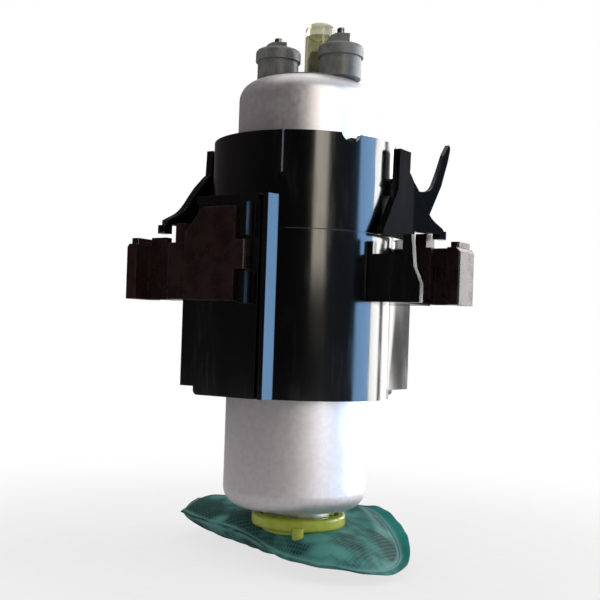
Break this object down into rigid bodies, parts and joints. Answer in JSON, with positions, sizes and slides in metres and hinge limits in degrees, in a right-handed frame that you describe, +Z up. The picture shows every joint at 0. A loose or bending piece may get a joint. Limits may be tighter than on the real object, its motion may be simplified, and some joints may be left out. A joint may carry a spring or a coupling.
{
  "type": "fuel pump",
  "caption": "In-tank electric fuel pump in a plastic carrier sleeve with side guide shoes, sprung latches, capped outlet and a mesh inlet filter bag.",
  "frame": {"origin": "on the pump axis, at the mid-plane of the carrier sleeve and of its two guide shoes", "axes": "+Z up along the pump axis towards the terminals; X along the shoe arms; the front bracket faces -Y"},
  "size_m": [0.0946, 0.0683, 0.1606],
  "materials": {
    "can_aluminium": "satin drawn metal",
    "carrier_black": "gloss moulded plastic",
    "shoe_brown": "satin moulded plastic",
    "damper_rubber": "matte",
    "end_cap_grey": "satin moulded plastic",
    "terminal_metal": "plated",
    "nipple_grey": "satin moulded plastic",
    "transit_cap_clear": "translucent soft plastic",
    "inlet_ring_yellow": "translucent moulded plastic",
    "filter_mesh": "woven nylon mesh",
    "steel": "machined",
    "magnet_ferrite": "sintered",
    "copper": "enamelled wire",
    "bronze": "sintered",
    "carbon": "carbon block"
  },
  "bodies": {
    "carrier": {"pump_can": "can_aluminium", "carrier_upper_shell": "carrier_black", "carrier_lower_shell": "carrier_black", "damper_ring_upper": "damper_rubber", "damper_ring_lower": "damper_rubber", "guide_shoe_front": "shoe_brown", "guide_shoe_rear": "shoe_brown", "pump_inlet_cover": "can_aluminium", "pump_cam_ring": "steel", "pump_outlet_plate": "can_aluminium", "bearing_bush_lower": "bronze", "bearing_bush_upper": "bronze", "motor_flux_ring": "steel", "field_magnet_left": "magnet_ferrite", "field_magnet_right": "magnet_ferrite", "magnet_clips": "steel", "pump_end_cap": "end_cap_grey", "brush_spring_left": "steel", "brush_spring_right": "steel", "suppression_choke_left": "copper", "suppression_choke_right": "copper", "terminal_collar_left": "end_cap_grey", "terminal_collar_right": "end_cap_grey", "terminal_stud_left": "terminal_metal", "terminal_stud_right": "terminal_metal", "outlet_nipple": "nipple_grey", "check_valve_seat": "bronze", "check_valve_spring": "steel", "relief_valve_seat": "bronze", "relief_valve_spring": "steel", "sock_inlet_ring": "inlet_ring_yellow", "sock_frame": "inlet_ring_yellow", "filter_sock": "filter_mesh"},
    "armature": {"armature_shaft": "steel", "armature_core": "steel", "armature_windings": "copper", "commutator": "copper", "pump_inner_rotor": "steel"},
    "outer_rotor": {"pump_outer_rotor": "steel"},
    "front_latch": {"latch_front": "carrier_black"},
    "rear_latch": {"latch_rear": "carrier_black"},
    "transit_cap": {"outlet_transit_cap": "transit_cap_clear"},
    "check_poppet": {"check_valve_poppet": "bronze"},
    "relief_ball": {"relief_valve_ball": "steel"},
    "left_brush": {"carbon_brush_left": "carbon"},
    "right_brush": {"carbon_brush_right": "carbon"}
  },
  "joints": [
    {"name": "armature_spin", "type": "hinge", "parent": "carrier", "child": "armature", "pos_m": [0, 0, -0.015], "axis": [0, 0, 1], "continuous": true},
    {"name": "outer_rotor_spin", "type": "hinge", "parent": "carrier", "child": "outer_rotor", "pos_m": [0.0012, 0, -0.056], "axis": [0, 0, 1], "continuous": true},
    {"name": "front_latch_flex", "type": "hinge", "parent": "carrier", "child": "front_latch", "pos_m": [-0.0277, -0.0025, 0.024], "axis": [0, 1, 0], "range_deg": [0, 6], "stiffness_Nm_per_rad": 0.2},
    {"name": "rear_latch_flex", "type": "hinge", "parent": "carrier", "child": "rear_latch", "pos_m": [0.0277, 0.0025, 0.024], "axis": [0, -1, 0], "range_deg": [0, 6], "stiffness_Nm_per_rad": 0.2},
    {"name": "transit_cap_pull", "type": "slide", "parent": "carrier", "child": "transit_cap", "axis": [0, 0, 1], "range_m": [0, 0.025]},
    {"name": "check_valve_lift", "type": "slide", "parent": "carrier", "child": "check_poppet", "axis": [0, 0, 1], "range_m": [0, 0.003], "stiffness_N_per_m": 60, "springref_m": -0.002, "deforming": ["check_valve_spring"]},
    {"name": "relief_valve_lift", "type": "slide", "parent": "carrier", "child": "relief_ball", "axis": [0, 0, 1], "range_m": [0, 0.0015], "stiffness_N_per_m": 400, "springref_m": -0.002, "deforming": ["relief_valve_spring"]},
    {"name": "left_brush_slide", "type": "slide", "parent": "carrier", "child": "left_brush", "axis": [0, 0, 1], "range_m": [0, 0.006], "stiffness_N_per_m": 100, "springref_m": -0.004, "deforming": ["brush_spring_left"]},
    {"name": "right_brush_slide", "type": "slide", "parent": "carrier", "child": "right_brush", "axis": [0, 0, 1], "range_m": [0, 0.006], "stiffness_N_per_m": 100, "springref_m": -0.004, "deforming": ["brush_spring_right"]}
  ],
  "couplings": [
    {"joint": "outer_rotor_spin", "follows": "armature_spin", "ratio": 0.85714}
  ]
}
